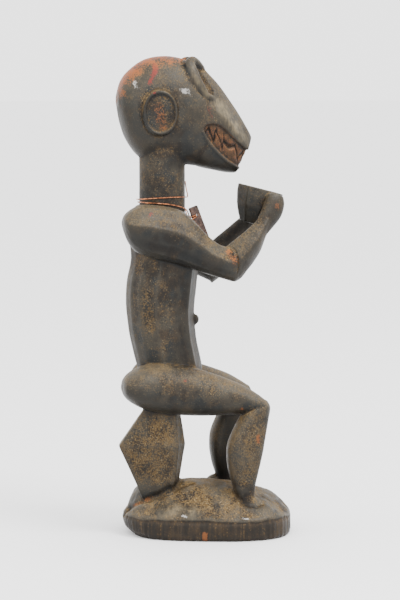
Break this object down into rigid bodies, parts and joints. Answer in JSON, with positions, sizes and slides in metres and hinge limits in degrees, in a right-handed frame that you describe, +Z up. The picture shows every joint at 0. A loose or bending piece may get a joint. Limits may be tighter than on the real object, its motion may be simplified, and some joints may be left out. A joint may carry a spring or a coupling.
{
  "type": "carved monkey figure",
  "caption": "Carved wooden monkey seated on a stool pillar over a domed base, holding out a cup, with a copper wire and a small pendant at its neck.",
  "frame": {"origin": "on the ground under the base, below the middle of the figure's seat and knees", "axes": "+Z up along the figure's height; the figure faces -Y and its right side is -X; the base and pillar are turned 17 degrees to the figure's right"},
  "size_m": [0.1526, 0.2045, 0.548],
  "materials": {
    "dark_wood": "worn dark patina with pale dust in the pores",
    "copper_wire": "dull drawn copper",
    "amulet_wood": "smooth handled wood"
  },
  "bodies": {
    "root": {"carved_figure": "dark_wood", "neck_wire": "copper_wire", "neck_pendant": "amulet_wood"}
  },
  "joints": []
}
